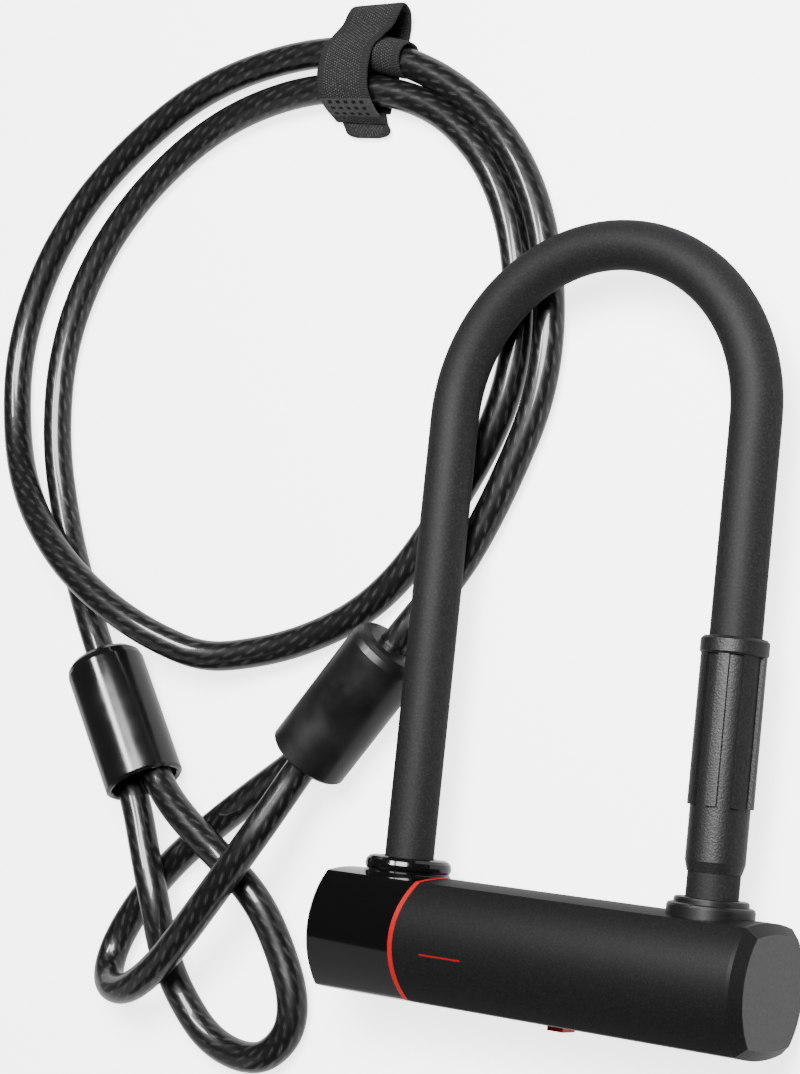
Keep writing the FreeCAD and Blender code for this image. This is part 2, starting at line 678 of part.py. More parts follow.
EYE_A_ROUTE = [
    (-219, -64.6, 16), (-208.9, -80.4, 16), (-196, -107, 18.6), (-189, -123, 18.6),
    (-186, -141, 14), (-180, -158, 7.5), (-163, -174, 6), (-139, -178, 6), (-125, -167, 6),
    (-123, -152, 6.5), (-131, -133, 9), (-140, -116, 14), (-153, -104, 18.6),
    (-170, -94, 18.6), (-185, -84, 18.3), (-198, -73.3, 16), (-208.1, -57.6, 16),
]
EYE_B_ROUTE = [
    (-108.2, -47.3, 21.4), (-119.8, -62, 21.4), (-127, -78, 26), (-135, -95, 31.2),
    (-149, -114, 31.2), (-163, -131, 29.5), (-177, -146, 27), (-195, -158, 23),
    (-212, -158, 16), (-219, -146, 8), (-212, -129, 6), (-197, -110, 6), (-178, -93, 6),
    (-153, -75, 7.5), (-125.5, -57.5, 10.6), (-113.9, -42.9, 10.6),
]
BEND_SHARE = 0.45
TUBE_VOLUME_TOLERANCE = 0.02
cable_radius = dim("cable_dia") / 2


def bend_path(points):
    """Straight runs joined by tangent arcs, each arc as large as its two runs allow."""
    corners = [Vector(*p) for p in points]
    edges = []
    start = corners[0]
    radii = []
    for before, corner, after in zip(corners, corners[1:], corners[2:]):
        back = before - corner
        ahead = after - corner
        reach = BEND_SHARE * min(back.Length, ahead.Length)
        turn = math.pi - back.getAngle(ahead)
        radii.append(reach / math.tan(turn / 2))
        back.normalize()
        ahead.normalize()
        arc_start = corner + back * reach
        arc_end = corner + ahead * reach
        bisector = back + ahead
        bisector.normalize()
        to_centre = radii[-1] / math.cos(turn / 2)
        middle = corner + bisector * (to_centre - radii[-1])
        edges.append(Part.LineSegment(start, arc_start).toShape())
        edges.append(Part.Arc(arc_start, middle, arc_end).toShape())
        start = arc_end
    edges.append(Part.LineSegment(start, corners[-1]).toShape())
    return Part.Wire(edges), radii


def cable_tube(label, points):
    """A stretch of cable as a plain round tube along its route."""
    path, radii = bend_path(points)
    start = Vector(*points[0])
    section = Part.Wire([Part.makeCircle(cable_radius.value, start, Vector(*points[1]) - start)])
    tube = Part.Wire(path).makePipeShell([section], True, False)
    expected = math.pi * cable_radius.value ** 2 * path.Length
    if abs(tube.Volume / expected - 1) > TUBE_VOLUME_TOLERANCE:
        raise SystemExit(f"{label} is not a clean tube along its route")
    print(label, "length", round(path.Length, 1), "tightest bend", round(min(radii), 1))
    feature = doc.addObject("Part::Feature", label)
    feature.Shape = tube
    feature.Placement = FreeCAD.Placement()
    return feature


def on_ferrule(thing, which, from_mouth):
    """Stand a turned piece on a ferrule's axis, starting at a depth behind its mouth."""
    ferrule = FERRULES[which]
    axis = Vector(ferrule["axis"])
    axis.normalize()
    start = ferrule["mouth"] - axis * from_mouth
    thing.Placement = FreeCAD.Placement(start, FreeCAD.Rotation(Vector(0, 0, 1), axis))
    return thing


def ferrule_shell(which):
    """The moulded sleeve over the clamp: round shoulder, narrow neck, open mouth."""
    outer = dim("ferrule_dia") / 2
    bore = dim("ferrule_bore") / 2
    length = dim("ferrule_length")
    neck = cable_radius + 0.2
    shoulder = [(outer - 5, 0), (outer - 2.4, 0.7), (outer - 0.7, 2.4), (outer, 5)]
    outline = [(neck, 0)] + shoulder
    outline += [(outer, length - 1), (outer - 1, length), (bore + 0.8, length)]
    outline += [(bore, length - 0.8), (bore, dim("neck_depth")), (neck, dim("neck_depth"))]
    return on_ferrule(turned(outline, None), which, length.value)


def clamp_core(which):
    """The pressed aluminium clamp that holds the three strands together."""
    length = dim("ferrule_length") - dim("neck_depth") - dim("mouth_depth")
    outline = [(0, 0), (dim("ferrule_bore") / 2, 0), (dim("ferrule_bore") / 2, length),
               (0, length)]
    return on_ferrule(turned(outline, None), which,
                      (dim("mouth_depth") + length).value)


STRAP_CENTRE_X = -143.5
STRAP_Z = 8.4
STRAND_Y = (206.5, 227.5)
STRAP_CLEARANCE = 0.6
STRAP_PIECE_GAP = 0.1
PULL_LOOP_X = (-143.0, -118.0)
PULL_LOOP_Z = (4.0, 15.0)
PULL_LOOP_HIGH_Y = 243.0
TAIL_X = (-148.0, -124.0)
TAIL_Z = (1.0, 6.0)
TAIL_LOW_Y = 190.0
strap_reach = (cable_radius + STRAP_CLEARANCE + dim("strap_thick")).value + STRAP_PIECE_GAP


def strap_loop_solid(radius, margin):
    """A flat-sided loop of the given inner or outer radius round both strands."""
    low_x = size(STRAP_CENTRE_X) - dim("strap_width") / 2 - margin
    length = dim("strap_width") + 2 * margin
    ends = [rod("x", (low_x, y, STRAP_Z), length, radius) for y in STRAND_Y]
    middle = box((low_x, STRAND_Y[0], size(STRAP_Z) - radius),
                 (low_x + length, STRAND_Y[1], size(STRAP_Z) + radius))
    return fuse(*ends, middle)


def strap_band():
    """The woven band round both strands at the top of the coil."""
    inner = cable_radius + STRAP_CLEARANCE
    return cut(strap_loop_solid(inner + dim("strap_thick"), 0), strap_loop_solid(inner, 1))


def strap_pull_loop():
    """The strap's spare length, folded into a loop that stands out from the coil."""
    return box((PULL_LOOP_X[0], STRAND_Y[1] + strap_reach, PULL_LOOP_Z[0]),
               (PULL_LOOP_X[1], PULL_LOOP_HIGH_Y, PULL_LOOP_Z[1]))


def strap_tail():
    """The strap's free end, lying on the inner side of the coil."""
    return box((TAIL_X[0], TAIL_LOW_Y, TAIL_Z[0]),
               (TAIL_X[1], STRAND_Y[0] - strap_reach, TAIL_Z[1]))


sub_part("ferrule_a", ferrule_shell("a"))
sub_part("ferrule_b", ferrule_shell("b"))
sub_part("clamp_a", clamp_core("a"))
sub_part("clamp_b", clamp_core("b"))
sub_part("cable_main", cable_tube("cable_main", MAIN_ROUTE))
sub_part("cable_eye_a", cable_tube("cable_eye_a", EYE_A_ROUTE))
sub_part("cable_eye_b", cable_tube("cable_eye_b", EYE_B_ROUTE))
sub_part("strap_band", strap_band())
sub_part("strap_pull_loop", strap_pull_loop())
sub_part("strap_tail", strap_tail())

# ---------------------------------------------------------------- check and write
doc.recompute()
failed = [o.Label for o in doc.Objects if {"Invalid", "Error"} & set(o.State)]
if failed:
    raise SystemExit(f"failed objects: {failed}")
os.makedirs("parts", exist_ok=True)
for piece in sub_parts:
    shape = piece.Shape
    if shape.isNull() or not shape.isValid() or not shape.Solids:
        raise SystemExit(f"bad shape: {piece.Label}")
    shape.exportStep(f"parts/{piece.Label}.step")
    bounds = shape.BoundBox
    print(f"{piece.Label:20s} solids {len(shape.Solids)} volume {shape.Volume:10.1f} "
          f"x {bounds.XMin:.1f}..{bounds.XMax:.1f} y {bounds.YMin:.1f}..{bounds.YMax:.1f} "
          f"z {bounds.ZMin:.1f}..{bounds.ZMax:.1f}")
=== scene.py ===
import bmesh
import bpy
import math
from mathutils import Matrix, Vector


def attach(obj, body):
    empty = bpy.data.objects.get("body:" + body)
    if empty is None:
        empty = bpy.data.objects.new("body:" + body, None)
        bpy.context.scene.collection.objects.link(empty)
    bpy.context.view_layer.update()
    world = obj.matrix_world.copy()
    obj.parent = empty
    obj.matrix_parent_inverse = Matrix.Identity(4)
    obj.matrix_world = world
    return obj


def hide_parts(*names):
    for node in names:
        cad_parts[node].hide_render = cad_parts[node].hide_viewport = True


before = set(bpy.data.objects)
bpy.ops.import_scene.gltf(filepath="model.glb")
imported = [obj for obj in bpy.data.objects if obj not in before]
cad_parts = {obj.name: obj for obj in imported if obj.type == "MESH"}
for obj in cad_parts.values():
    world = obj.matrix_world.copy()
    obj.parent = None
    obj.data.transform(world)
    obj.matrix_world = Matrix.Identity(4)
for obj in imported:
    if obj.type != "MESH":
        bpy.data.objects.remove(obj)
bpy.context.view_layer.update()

MM = 0.001

# ---------------------------------------------------------------- camera, lights and floor
CAMERA_PLACE = Vector((0.4609, -0.0595, 0.7467))
CAMERA_VIEW = Vector((-0.5986, 0.0947, -0.7954))
CAMERA_UP = Vector((-0.0273, 0.9900, 0.1384))
CAMERA_NEAREST = 0.01
SENSOR_LONG_SIDE_MM = 36.0
LENS_MM = 81.2

LIGHT_UP = Vector((0, 0.02, 1))
KEY_PLACE = (0.27, 0.41, 1.12)
STRIP_PLACE = (-0.30, 0.48, 1.08)
FILL_PLACE = (-0.85, -0.75, 0.45)
OBJECT_MIDDLE = (-0.1, 0.03, 0)
OBJECT_FRONT = (0, -0.1, 0)
# Each light's name, place, aim, size in metres and power in watts.
MAIN_LIGHTS = (
    ("key", KEY_PLACE, OBJECT_MIDDLE, (0.6, 0.6), 50),
    ("fill", FILL_PLACE, OBJECT_FRONT, (0.8, 1.1), 1.8),
)
GLOSS_LIGHTS = (
    ("key_gloss", KEY_PLACE, OBJECT_MIDDLE, (0.5, 0.5), 40),
    ("strip_gloss", STRIP_PLACE, OBJECT_MIDDLE, (0.2, 0.5), 22),
)

WHITE = (1, 1, 1, 1)
SURROUND_STRENGTH = 0.12
FLOOR_REACH = 6.0
FLOOR_HEIGHT = -0.0004
FLOOR_COLOUR = (0.92, 0.92, 0.92)
FLOOR_ROUGHNESS = 0.8
FLOOR_GLOW = 3.2
FLOOR_GRAIN_PER_M = 60
FLOOR_GRAIN_DEPTH = 0.02 * MM
REFLECTED_FLOOR_GLOW = 1.3


def new_object(name, data):
    """An object of the scene that holds the data."""
    made = bpy.data.objects.new(name, data)
    bpy.context.scene.collection.objects.link(made)
    return made


def look(place, view, up):
    """The pose of a camera or light at a place, looking along view with its top towards up."""
    back = -view.normalized()
    right = up.cross(back).normalized()
    top = back.cross(right)
    turn = Matrix((right, top, back)).transposed().to_4x4()
    return Matrix.Translation(place) @ turn


def add_camera():
    """The camera at the photograph's viewing angle."""
    data = bpy.data.cameras.new("camera")
    data.sensor_width = SENSOR_LONG_SIDE_MM
    data.lens = LENS_MM
    data.clip_start = CAMERA_NEAREST
    camera = new_object("camera", data)
    camera.matrix_world = look(CAMERA_PLACE, CAMERA_VIEW, CAMERA_UP)
    bpy.context.scene.camera = camera


def add_area_light(name, place, aim, size, power):
    """A soft rectangular studio light."""
    data = bpy.data.lights.new(name, "AREA")
    data.shape = "RECTANGLE"
    data.size, data.size_y = size
    data.energy = power
    light = new_object(name, data)
    light.matrix_world = look(Vector(place), Vector(aim) - Vector(place), LIGHT_UP)
    return light


def add_sheet(name, finish):
    """A wide flat sheet just under the object, kept out of the object's own pieces."""
    mesh = bpy.data.meshes.new(name)
    low, high = -FLOOR_REACH, FLOOR_REACH
    corners = [(low, low, 0), (high, low, 0), (high, high, 0), (low, high, 0)]
    mesh.from_pydata(corners, [], [(0, 1, 2, 3)])
    mesh.materials.append(finish)
    sheet = new_object(name, mesh)
    sheet.location.z = FLOOR_HEIGHT
    return sheet


def add_studio():
    """A pale floor whose reflection is toned down, a soft key and fill, and two gloss lights."""
    floor = add_sheet("floor", light_table())
    floor.visible_glossy = False
    toned = add_sheet("floor_in_reflections", toned_glow())
    toned.visible_camera = toned.visible_diffuse = toned.visible_shadow = False
    world = bpy.data.worlds.new("surround")
    world.use_nodes = True
    background = world.node_tree.nodes["Background"]
    set_inputs(background, {"Color": WHITE, "Strength": SURROUND_STRENGTH})
    bpy.context.scene.world = world
    for light in MAIN_LIGHTS:
        add_area_light(*light)
    for light in GLOSS_LIGHTS:
        add_area_light(*light).visible_diffuse = False


# ---------------------------------------------------------------- material building blocks
def set_inputs(node, values):
    """Set plain values on a node's named inputs."""
    for name, value in values.items():
        node.inputs[name].default_value = value


def new_material(name, colour, roughness, metallic=0.0):
    """A material with its plain values set, and its node tree and shader."""
    material = bpy.data.materials.new(name)
    material.use_nodes = True
    tree = material.node_tree
    shader = tree.nodes["Principled BSDF"]
    set_inputs(shader, {"Base Color": (*colour, 1), "Roughness": roughness,
                        "Metallic": metallic})
    return material, tree, shader


def axes(tree, kind):
    """The X, Y and Z of the object's own metres ("Object") or of a piece's map ("UV")."""
    coordinates = tree.nodes.new("ShaderNodeTexCoord")
    split = tree.nodes.new("ShaderNodeSeparateXYZ")
    tree.links.new(coordinates.outputs[kind], split.inputs[0])
    return split.outputs


def noise(tree, scale, detail=2.0, stretch=None):
    """Noise in the object's own metres, stretched along an axis where asked."""
    coordinates = tree.nodes.new("ShaderNodeTexCoord")
    source = coordinates.outputs["Object"]
    if stretch:
        mapping = tree.nodes.new("ShaderNodeMapping")
        mapping.inputs["Scale"].default_value = stretch
        tree.links.new(source, mapping.inputs["Vector"])
        source = mapping.outputs["Vector"]
    texture = tree.nodes.new("ShaderNodeTexNoise")
    set_inputs(texture, {"Scale": scale, "Detail": detail})
    tree.links.new(source, texture.inputs["Vector"])
    return texture.outputs["Fac"]


def spread(tree, source, low, high, from_low=0.3, from_high=0.7):
    """Map a factor from one range, by default the one most noise lies in, to another."""
    mapper = tree.nodes.new("ShaderNodeMapRange")
    set_inputs(mapper, {"From Min": from_low, "From Max": from_high,
                        "To Min": low, "To Max": high})
    tree.links.new(source, mapper.inputs["Value"])
    return mapper.outputs["Result"]


def blend(tree, share, low, high):
    """A mix of two colours, each a plain colour or a socket, by a factor."""
    mix = tree.nodes.new("ShaderNodeMix")
    mix.data_type = "RGBA"
    sockets = [socket for socket in mix.inputs if socket.type == "RGBA"]
    for socket, colour in zip(sockets, (low, high)):
        if isinstance(colour, tuple):
            socket.default_value = (*colour, 1)
        else:
            tree.links.new(colour, socket)
    tree.links.new(share, mix.inputs["Factor"])
    return next(socket for socket in mix.outputs if socket.type == "RGBA")


def paint_over(tree, shader, share, colour):
    """Lay a colour over what already feeds the shader's colour, by a factor."""
    base = shader.inputs["Base Color"]
    tree.links.new(blend(tree, share, base.links[0].from_socket, colour), base)


def relief(tree, shader, source, depth, strength=1.0):
    """Bump the shader's normal by a height factor."""
    bump = tree.nodes.new("ShaderNodeBump")
    set_inputs(bump, {"Strength": strength, "Distance": depth})
    tree.links.new(source, bump.inputs["Height"])
    tree.links.new(bump.outputs["Normal"], shader.inputs["Normal"])


def maths(tree, operation, *values):
    """A maths node on sockets or numbers."""
    made = tree.nodes.new("ShaderNodeMath")
    made.operation = operation
    for socket, value in zip(made.inputs, values):
        if isinstance(value, (int, float)):
            socket.default_value = value
        else:
            tree.links.new(value, socket)
    return made.outputs[0]


def times(tree, first, *others):
    """The product of sockets or numbers."""
    for other in others:
        first = maths(tree, "MULTIPLY", first, other)
    return first


def window(tree, source, low, high, soft):
    """One between two values of a factor and zero outside them, with soft ends."""
    rise = spread(tree, source, 0, 1, low - soft, low + soft)
    fall = spread(tree, source, 1, 0, high - soft, high + soft)
    return times(tree, rise, fall)


def repeats(tree, source, low, high, soft):
    """A window that comes again in every whole step of a factor."""
    return window(tree, maths(tree, "FRACT", source), low, high, soft)


def light_table():
    """A matt white sheet that glows a little from below."""
    material, tree, shader = new_material("light_table", FLOOR_COLOUR, FLOOR_ROUGHNESS)
    set_inputs(shader, {"Emission Color": WHITE, "Emission Strength": FLOOR_GLOW})
    relief(tree, shader, noise(tree, FLOOR_GRAIN_PER_M), FLOOR_GRAIN_DEPTH)
    return material


def toned_glow():
    """An even pale glow that stands for the floor in polished surfaces."""
    material, _, shader = new_material("toned_glow", (0, 0, 0), 1.0)
    set_inputs(shader, {"Specular IOR Level": 0, "Emission Color": WHITE,
                        "Emission Strength": REFLECTED_FLOOR_GLOW})
    return material


GRAIN_DETAIL = 3
# Painted glints: the range of grain noise that gets them, and how much lighter they are painted.
GLINT_SPECK_FROM, GLINT_SPECK_TO = 0.45, 0.75
GLINT_SPECK_GAIN = 2.4
WEAR_PER_M = 14
WEAR_DETAIL = 2
WEAR_ROUGHNESS = 0.015


def grained_plastic(name, colour, roughness, grain_per_m, depth_mm, sheen):
    """Moulded plastic with a fine spark-eroded grain in its relief, with the grain's glints
    painted in as lighter specks.
    """
    material, tree, shader = new_material(name, colour, roughness)
    set_inputs(shader, {"Specular IOR Level": sheen})
    grain = noise(tree, grain_per_m, GRAIN_DETAIL)
    # The lighter specks are painted glints on the grain.
    painted_glint = spread(tree, grain, 0, 1, GLINT_SPECK_FROM, GLINT_SPECK_TO)
    glint_colour = tuple(c * GLINT_SPECK_GAIN for c in colour)
    tree.links.new(blend(tree, painted_glint, colour, glint_colour), shader.inputs["Base Color"])
    wear = spread(tree, noise(tree, WEAR_PER_M, WEAR_DETAIL),
                  roughness - WEAR_ROUGHNESS, roughness + WEAR_ROUGHNESS)
    tree.links.new(wear, shader.inputs["Roughness"])
    relief(tree, shader, grain, depth_mm * MM)
    return material, tree, shader


HANDLING_PER_M = 55
HANDLING_DETAIL = 4
HANDLING_LOW, HANDLING_HIGH = 0.7, 1.5
RIPPLES_PER_M = 130
RIPPLE_DETAIL = 1
RIPPLE_DEPTH = 0.004 * MM
COAT_ROUGHNESS = 0.03


def gloss_plastic(name, colour, roughness, gloss=0.3, coat=0.25):
    """Polished plastic: a clear hard surface with a faint moulding ripple."""
    material, tree, shader = new_material(name, colour, roughness)
    set_inputs(shader, {"Specular IOR Level": gloss, "Coat Weight": coat,
                        "Coat Roughness": COAT_ROUGHNESS})
    handling = spread(tree, noise(tree, HANDLING_PER_M, HANDLING_DETAIL),
                      roughness * HANDLING_LOW, roughness * HANDLING_HIGH)
    tree.links.new(handling, shader.inputs["Roughness"])
    relief(tree, shader, noise(tree, RIPPLES_PER_M, RIPPLE_DETAIL), RIPPLE_DEPTH)
    return material


TOOL_MARKS_PER_M = 900
TOOL_MARK_DETAIL = 3
TOOL_MARK_DEPTH = 0.01 * MM
TOOL_MARK_LOW, TOOL_MARK_HIGH = 0.7, 1.3


def turned_metal(name, colour, roughness, stretch):
    """Machined metal with fine tool marks stretched along one direction."""
    material, tree, shader = new_material(name, colour, roughness, metallic=1.0)
    marks = noise(tree, TOOL_MARKS_PER_M, TOOL_MARK_DETAIL, stretch)
    uneven = spread(tree, marks, roughness * TOOL_MARK_LOW, roughness * TOOL_MARK_HIGH)
    tree.links.new(uneven, shader.inputs["Roughness"])
    relief(tree, shader, marks, TOOL_MARK_DEPTH)
    return material


# ---------------------------------------------------------------- meshes made from rings of points
def distances(points):
    """How far along a line each of its points lies."""
    travelled = [0.0]
    for before, after in zip(points, points[1:]):
        travelled.append(travelled[-1] + (after - before).length)
    return travelled


def skin(mesh, rings, around, along):
    """Close rings of vertices into a solid and fill in its map.

    around holds the two U values of each face of a ring, and along the V value of each ring.
    """
    layer = mesh.loops.layers.uv.new("map")
    rows = list(zip(rings, along))
    for (ring, v), (following, v_following) in zip(rows, rows[1:]):
        for step, (u, u_beyond) in enumerate(around):
            beyond = (step + 1) % len(around)
            face = mesh.faces.new((ring[step], ring[beyond], following[beyond],
                                   following[step]))
            face.smooth = True
            spots = ((u, v), (u_beyond, v), (u_beyond, v_following), (u, v_following))
            for loop, spot in zip(face.loops, spots):
                loop[layer].uv = spot
    mesh.faces.new(list(reversed(rings[0])))
    mesh.faces.new(rings[-1])


def piece_from(name, mesh):
    """An object of the scene that holds what was built in a bmesh."""
    data = bpy.data.meshes.new(name)
    mesh.to_mesh(data)
    mesh.free()
    return new_object(name, data)


# ---------------------------------------------------------------- cable
CABLE_DIAMETER = 12 * MM
CABLE_SIDES = 40
ROUTE_ORDER = 3
POINTS_PER_RUN = 14
# Route points in millimetres.
MAIN_ROUTE = [
    (-230.1, -35.3, 16), (-241.8, -17.1, 16), (-262, 8, 9), (-275, 29, 6), (-288, 66, 6),
    (-290, 108, 6), (-276, 146, 6), (-251, 176, 6), (-216, 200, 6), (-175, 210.2, 8.4),
    (-138, 210, 8.4), (-104, 201, 6), (-79, 182, 6), (-63, 159, 6), (-54, 133, 6),
    (-51, 106, 6), (-54, 82, 6), (-63, 60, 6), (-77, 37, 6), (-94, 13, 6), (-115, -4, 6),
    (-143, -16, 7.5), (-169, -22, 11), (-183, -23, 14), (-196, -20, 17.5), (-217, -12, 22),
    (-242, 1, 23.5), (-265, 17, 22.5), (-291, 40, 16), (-310, 68, 8), (-317, 105, 6),
    (-307, 142, 6), (-287, 172, 6), (-258, 197.2, 6), (-224, 216.6, 6), (-184, 224.8, 8.4),
    (-147, 226, 8.4), (-115, 218.2, 7.4), (-88, 203.6, 6), (-66, 184, 6), (-50, 160, 6),
    (-41, 134, 6), (-37, 107, 6), (-39, 81, 6), (-48, 56, 6), (-59, 32, 6), (-68, 14, 8.5),
    (-78.6, -4.1, 16), (-92.1, -21.1, 16),
]
EYE_A_ROUTE = [
    (-219, -64.6, 16), (-208.9, -80.4, 16), (-196, -107, 18.6), (-189, -123, 18.6),
    (-186, -141, 14), (-180, -158, 7.5), (-163, -174, 6), (-139, -178, 6), (-125, -167, 6),
    (-123, -152, 6.5), (-131, -133, 9), (-140, -116, 14), (-153, -104, 18.6),
    (-170, -94, 18.6), (-185, -84, 18.3), (-198, -73.3, 16), (-208.1, -57.6, 16),
]
EYE_B_ROUTE = [
    (-108.2, -47.3, 21.4), (-119.8, -62, 21.4), (-127, -78, 26), (-135, -95, 31.2),
    (-149, -114, 31.2), (-163, -131, 29.5), (-177, -146, 27), (-195, -158, 23),
    (-212, -158, 16), (-219, -146, 8), (-212, -129, 6), (-197, -110, 6), (-178, -93, 6),
    (-153, -75, 7.5), (-125.5, -57.5, 10.6), (-113.9, -42.9, 10.6),
]


def centreline(name, route_mm):
    """Points along the smooth line of a route, read from its NURBS spline."""
    data = bpy.data.curves.new(name, "CURVE")
    data.dimensions = "3D"
    spline = data.splines.new("NURBS")
    spline.points.add(len(route_mm) - 1)
    for point, place in zip(spline.points, route_mm):
        point.co = (*(c * MM for c in place), 1)
    spline.order_u = ROUTE_ORDER
    spline.use_endpoint_u = True
    spline.resolution_u = POINTS_PER_RUN
    holder = new_object(name, data)
    bpy.context.view_layer.update()
    line = bpy.data.meshes.new_from_object(holder)
    points = [v.co.copy() for v in line.vertices]
    bpy.data.objects.remove(holder)
    bpy.data.curves.remove(data)
    bpy.data.meshes.remove(line)
    return points


def carried_frames(points):
    """Each point's direction along a line, and a side direction carried along without twist."""
    tangents = []
    for index in range(len(points)):
        after = points[min(index + 1, len(points) - 1)]
        before = points[max(index - 1, 0)]
        tangents.append((after - before).normalized())
    side = tangents[0].orthogonal().normalized()
    sides = [side]
    for before, after in zip(tangents, tangents[1:]):
        side = before.rotation_difference(after) @ side
        side = (side - after * side.dot(after)).normalized()
        sides.append(side)
    return tangents, sides


def tube(name, points, radius, side_count):
    """A closed tube along a line, with its map's U once round it and V in girths along it."""
    mesh = bmesh.new()
    rings = []
    for point, tangent, side in zip(points, *carried_frames(points)):
        other = tangent.cross(side)
        ring = []
        for step in range(side_count):
            angle = 2 * math.pi * step / side_count
            offset = side * math.cos(angle) + other * math.sin(angle)
            ring.append(mesh.verts.new(point + offset * radius))
        rings.append(ring)
    girth = 2 * math.pi * radius
    around = [(step / side_count, (step + 1) / side_count) for step in range(side_count)]
    skin(mesh, rings, around, [distance / girth for distance in distances(points)])
    return piece_from(name, mesh)


# The braided wire under the sheath, in rows that wind round the cable.
WIRE_ROWS = 12
WIRE_LEAN = 3.6
WIRE_DASHES_PER_GIRTH = 5.4
WIRE_STAGGER = 0.5
STRANDS_PER_ROW = 4
STRAND_LEAN = 30
STRAND_GAP_DEPTH = 0.2
# Where each repeat of a row, dash or strand starts and ends, and how soft its ends are.
ROW_WINDOW = (0.34, 0.66, 0.12)
DASH_WINDOW = (0.18, 0.8, 0.12)
STRAND_WINDOW = (0.25, 0.75, 0.2)
GLINT_PATCHES_PER_M = 150
# How much of the glints is left, from patch to patch, and the range of noise that gives it.
GLINT_PATCH_RANGE = (0.25, 1.0, 0.38, 0.62)
WIRE_DARK = (0.0022, 0.0022, 0.0023)
WIRE_GLINT = (0.042, 0.042, 0.043)
WIRE_RELIEF = 0.1 * MM
WIRE_RELIEF_STRENGTH = 0.4
SHEATH_COLOUR = (0.01, 0.01, 0.011)
SHEATH_ROUGHNESS = 0.34
SHEATH_GLOSS = 0.2
SHEATH_COAT = 0.5
SHEATH_COAT_ROUGHNESS = 0.04


def along_map(tree, around, along):
    """A count that grows by around once round the tube and by along for each girth of it."""
    u, v, _ = axes(tree, "UV")
    return maths(tree, "MULTIPLY_ADD", v, along, times(tree, u, around))


def wire_dashes(tree):
    """Short staggered bundles of wire in rows that wind round the cable one way."""
    row = along_map(tree, WIRE_ROWS, WIRE_LEAN)
    stagger = times(tree, maths(tree, "FLOOR", row), WIRE_STAGGER)
    dash = maths(tree, "ADD", along_map(tree, 0, WIRE_DASHES_PER_GIRTH), stagger)
    bundle = times(tree, repeats(tree, row, *ROW_WINDOW), repeats(tree, dash, *DASH_WINDOW))
    strand = repeats(tree, along_map(tree, WIRE_ROWS * STRANDS_PER_ROW, STRAND_LEAN),
                     *STRAND_WINDOW)
    return times(tree, bundle, spread(tree, strand, STRAND_GAP_DEPTH, 1, 0, 1))


def cable_material():
    """Clear smoked sheath over braided steel: dull wire glints below a polished skin."""
    material, tree, shader = new_material("cable_sheath", SHEATH_COLOUR, SHEATH_ROUGHNESS)
    set_inputs(shader, {"Specular IOR Level": SHEATH_GLOSS, "Coat Weight": SHEATH_COAT,
                        "Coat Roughness": SHEATH_COAT_ROUGHNESS})
    dashes = wire_dashes(tree)
    patchy = spread(tree, noise(tree, GLINT_PATCHES_PER_M), *GLINT_PATCH_RANGE)
    colour = blend(tree, times(tree, dashes, patchy), WIRE_DARK, WIRE_GLINT)
    tree.links.new(colour, shader.inputs["Base Color"])
    relief(tree, shader, dashes, WIRE_RELIEF, WIRE_RELIEF_STRENGTH)
    return material


def add_cables():
    """The cable's main run and its two eyes, as three tubes."""
    finish = cable_material()
    for name, cad_node, route in (("cable_run", "cable_main", MAIN_ROUTE),
                                  ("cable_loop_a", "cable_eye_a", EYE_A_ROUTE),
                                  ("cable_loop_b", "cable_eye_b", EYE_B_ROUTE)):
        points = centreline(name, route)
        piece = tube(name, points, CABLE_DIAMETER / 2, CABLE_SIDES)
        piece.data.materials.append(finish)
        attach(piece, "cable")
        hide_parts(cad_node)


# ---------------------------------------------------------------- finishes of the CAD nodes
# The corners of the box round the printed line, on the bar's front.
STRIPE_LOW = Vector((-37.0, -123.5, 40.0)) * MM
STRIPE_HIGH = Vector((-19.5, -122.9, 60.0)) * MM
STRIPE_SOFTNESS = 0.06 * MM
STRIPE_RED = (0.22, 0.002, 0.003)
RED = (0.32, 0.002, 0.004)

END_FACE_X = 88.9 * MM
END_FACE_EDGE = 0.05 * MM
# The painted reflection of the floor on the end cap's flat face: its mottle and its two tones.
REFLECTION_MOTTLE_PER_M = 900
PAINTED_REFLECTION_DARK = (0.02, 0.02, 0.0206)
PAINTED_REFLECTION_LIGHT = (0.028, 0.028, 0.0288)

STEEL_NODES = ["shackle_core", "crossbar_tube", "left_lock_block", "right_lock_block",
               "lock_block_pins", "cylinder_pin", "left_bolt", "right_bolt", "locking_discs",
               "disc_spacers", "sidebar", "bolt_cam"]
BRASS_NODES = ["cylinder_body", "key_barrel"]
ALUMINIUM_NODES = ["clamp_a", "clamp_b"]


def dress(names, material):
    """Give CAD nodes a finish."""
    for name in names:
        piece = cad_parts[name]
        if not piece.material_slots:
            piece.data.materials.append(material)
        for place in piece.material_slots:
            place.material = material


def body_material():
    """The bar's satin body, with one thin printed red line on its front."""
    material, tree, shader = grained_plastic(
        "body", (0.0036, 0.0036, 0.0038), roughness=0.48, grain_per_m=1700, depth_mm=0.04,
        sheen=0.08)
    inside = [window(tree, socket, low, high, STRIPE_SOFTNESS)
              for socket, low, high in zip(axes(tree, "Object"), STRIPE_LOW, STRIPE_HIGH)]
    paint_over(tree, shader, times(tree, *inside), STRIPE_RED)
    return material


def end_cap_material():
    """The end cap: a dark smooth rim round a flat face painted paler, as a painted reflection of
    the floor, with a fine mottle.
    """
    material, tree, shader = grained_plastic(
        "cap", (0.0028, 0.0028, 0.003), roughness=0.42, grain_per_m=1800, depth_mm=0.03,
        sheen=0.12)
    x = axes(tree, "Object")["X"]
    flat = spread(tree, x, 0, 1, END_FACE_X - END_FACE_EDGE, END_FACE_X)
    # A paler mottled tone, painted on the flat face as a painted reflection of the floor.
    painted_reflection = blend(tree, spread(tree, noise(tree, REFLECTION_MOTTLE_PER_M), 0, 1), PAINTED_REFLECTION_DARK, PAINTED_REFLECTION_LIGHT)
    paint_over(tree, shader, flat, painted_reflection)
    return material


